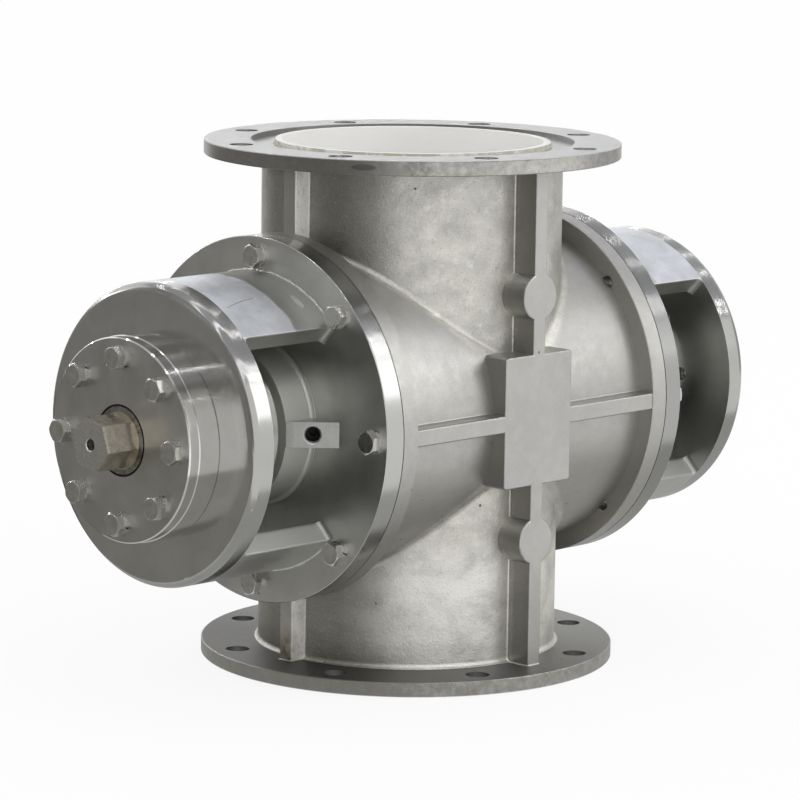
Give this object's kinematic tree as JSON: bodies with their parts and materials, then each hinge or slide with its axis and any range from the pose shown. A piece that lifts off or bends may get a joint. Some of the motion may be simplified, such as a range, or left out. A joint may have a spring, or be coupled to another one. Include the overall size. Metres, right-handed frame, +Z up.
{
  "type": "rotary feed valve",
  "caption": "Rotary feed valve: a flanged, ceramic-lined pipe crossed by the barrel of a vaned rotor, with yoked bearings at both ends and a hexagonal drive shaft.",
  "frame": {"origin": "centre of the outlet flange's face, on the pipe's axis", "axes": "+Z up the pipe from the outlet to the inlet, X along the rotor's axis with the drive end at -X, the purge ports face -Y"},
  "size_m": [0.6304, 0.32, 0.4],
  "materials": {
    "cast_steel": "bead-blasted stainless casting",
    "machined_casting": "turned stainless casting",
    "machined_steel": "turned and faced",
    "gland_steel": "turned and polished",
    "shaft_steel": "ground",
    "rotor_steel": "machined",
    "wear_steel": "hardened and ground",
    "bolt_steel": "stainless, as forged",
    "washer_steel": "stainless spring steel",
    "spring_steel": "phosphated",
    "bearing_steel": "polished",
    "cage_brass": "machined",
    "lantern_bronze": "turned bronze",
    "ceramic": "fired alumina, opaque",
    "gasket_sheet": "fibre sheet",
    "packing_cord": "braided",
    "seal_rubber": "moulded"
  },
  "bodies": {
    "body": {"casing": "cast_steel", "inlet_lining": "ceramic", "outlet_lining": "ceramic", "barrel_lining": "ceramic", "drive_end_cover": "machined_casting", "drive_end_gasket": "gasket_sheet", "drive_wear_plate": "ceramic", "drive_end_bolts": "bolt_steel", "drive_end_washers": "washer_steel", "drive_bearing_housing": "machined_steel", "drive_bearing_cover": "machined_steel", "drive_cover_bolts": "bolt_steel", "drive_cover_washers": "washer_steel", "drive_bearing_outer_ring": "bearing_steel", "drive_housing_seal": "seal_rubber", "drive_packing_rings": "packing_cord", "drive_lantern_ring": "lantern_bronze", "drive_gland_follower": "gland_steel", "drive_gland_studs": "bolt_steel", "drive_gland_nuts": "bolt_steel", "tail_end_cover": "machined_casting", "tail_end_gasket": "gasket_sheet", "tail_wear_plate": "ceramic", "tail_end_bolts": "bolt_steel", "tail_end_washers": "washer_steel", "tail_bearing_housing": "machined_steel", "tail_bearing_cover": "machined_steel", "tail_cover_bolts": "bolt_steel", "tail_cover_washers": "washer_steel", "tail_bearing_outer_ring": "bearing_steel", "tail_housing_seal": "seal_rubber", "tail_packing_rings": "packing_cord", "tail_lantern_ring": "lantern_bronze", "tail_gland_follower": "gland_steel", "tail_gland_studs": "bolt_steel", "tail_gland_nuts": "bolt_steel", "drive_shaft_seal": "seal_rubber"},
    "rotor": {"rotor_shaft": "shaft_steel", "rotor_key": "shaft_steel", "rotor_hub": "rotor_steel", "rotor_vanes": "rotor_steel", "vane_tips": "wear_steel", "tip_screws": "bolt_steel", "drive_bearing_inner_ring": "bearing_steel", "drive_shaft_circlip": "spring_steel", "tail_bearing_inner_ring": "bearing_steel", "tail_shaft_circlip": "spring_steel"},
    "drive_ball_set": {"drive_bearing_balls": "bearing_steel", "drive_bearing_cage": "cage_brass"},
    "tail_ball_set": {"tail_bearing_balls": "bearing_steel", "tail_bearing_cage": "cage_brass"}
  },
  "joints": [
    {"name": "rotor_spin", "type": "hinge", "parent": "body", "child": "rotor", "pos_m": [0, 0, 0.2], "axis": [1, 0, 0], "continuous": true},
    {"name": "drive_balls_orbit", "type": "hinge", "parent": "body", "child": "drive_ball_set", "pos_m": [0, 0, 0.2], "axis": [1, 0, 0], "continuous": true},
    {"name": "tail_balls_orbit", "type": "hinge", "parent": "body", "child": "tail_ball_set", "pos_m": [0, 0, 0.2], "axis": [1, 0, 0], "continuous": true}
  ],
  "couplings": [
    {"joint": "drive_balls_orbit", "follows": "rotor_spin", "ratio": 0.40782},
    {"joint": "tail_balls_orbit", "follows": "rotor_spin", "ratio": 0.40782}
  ]
}
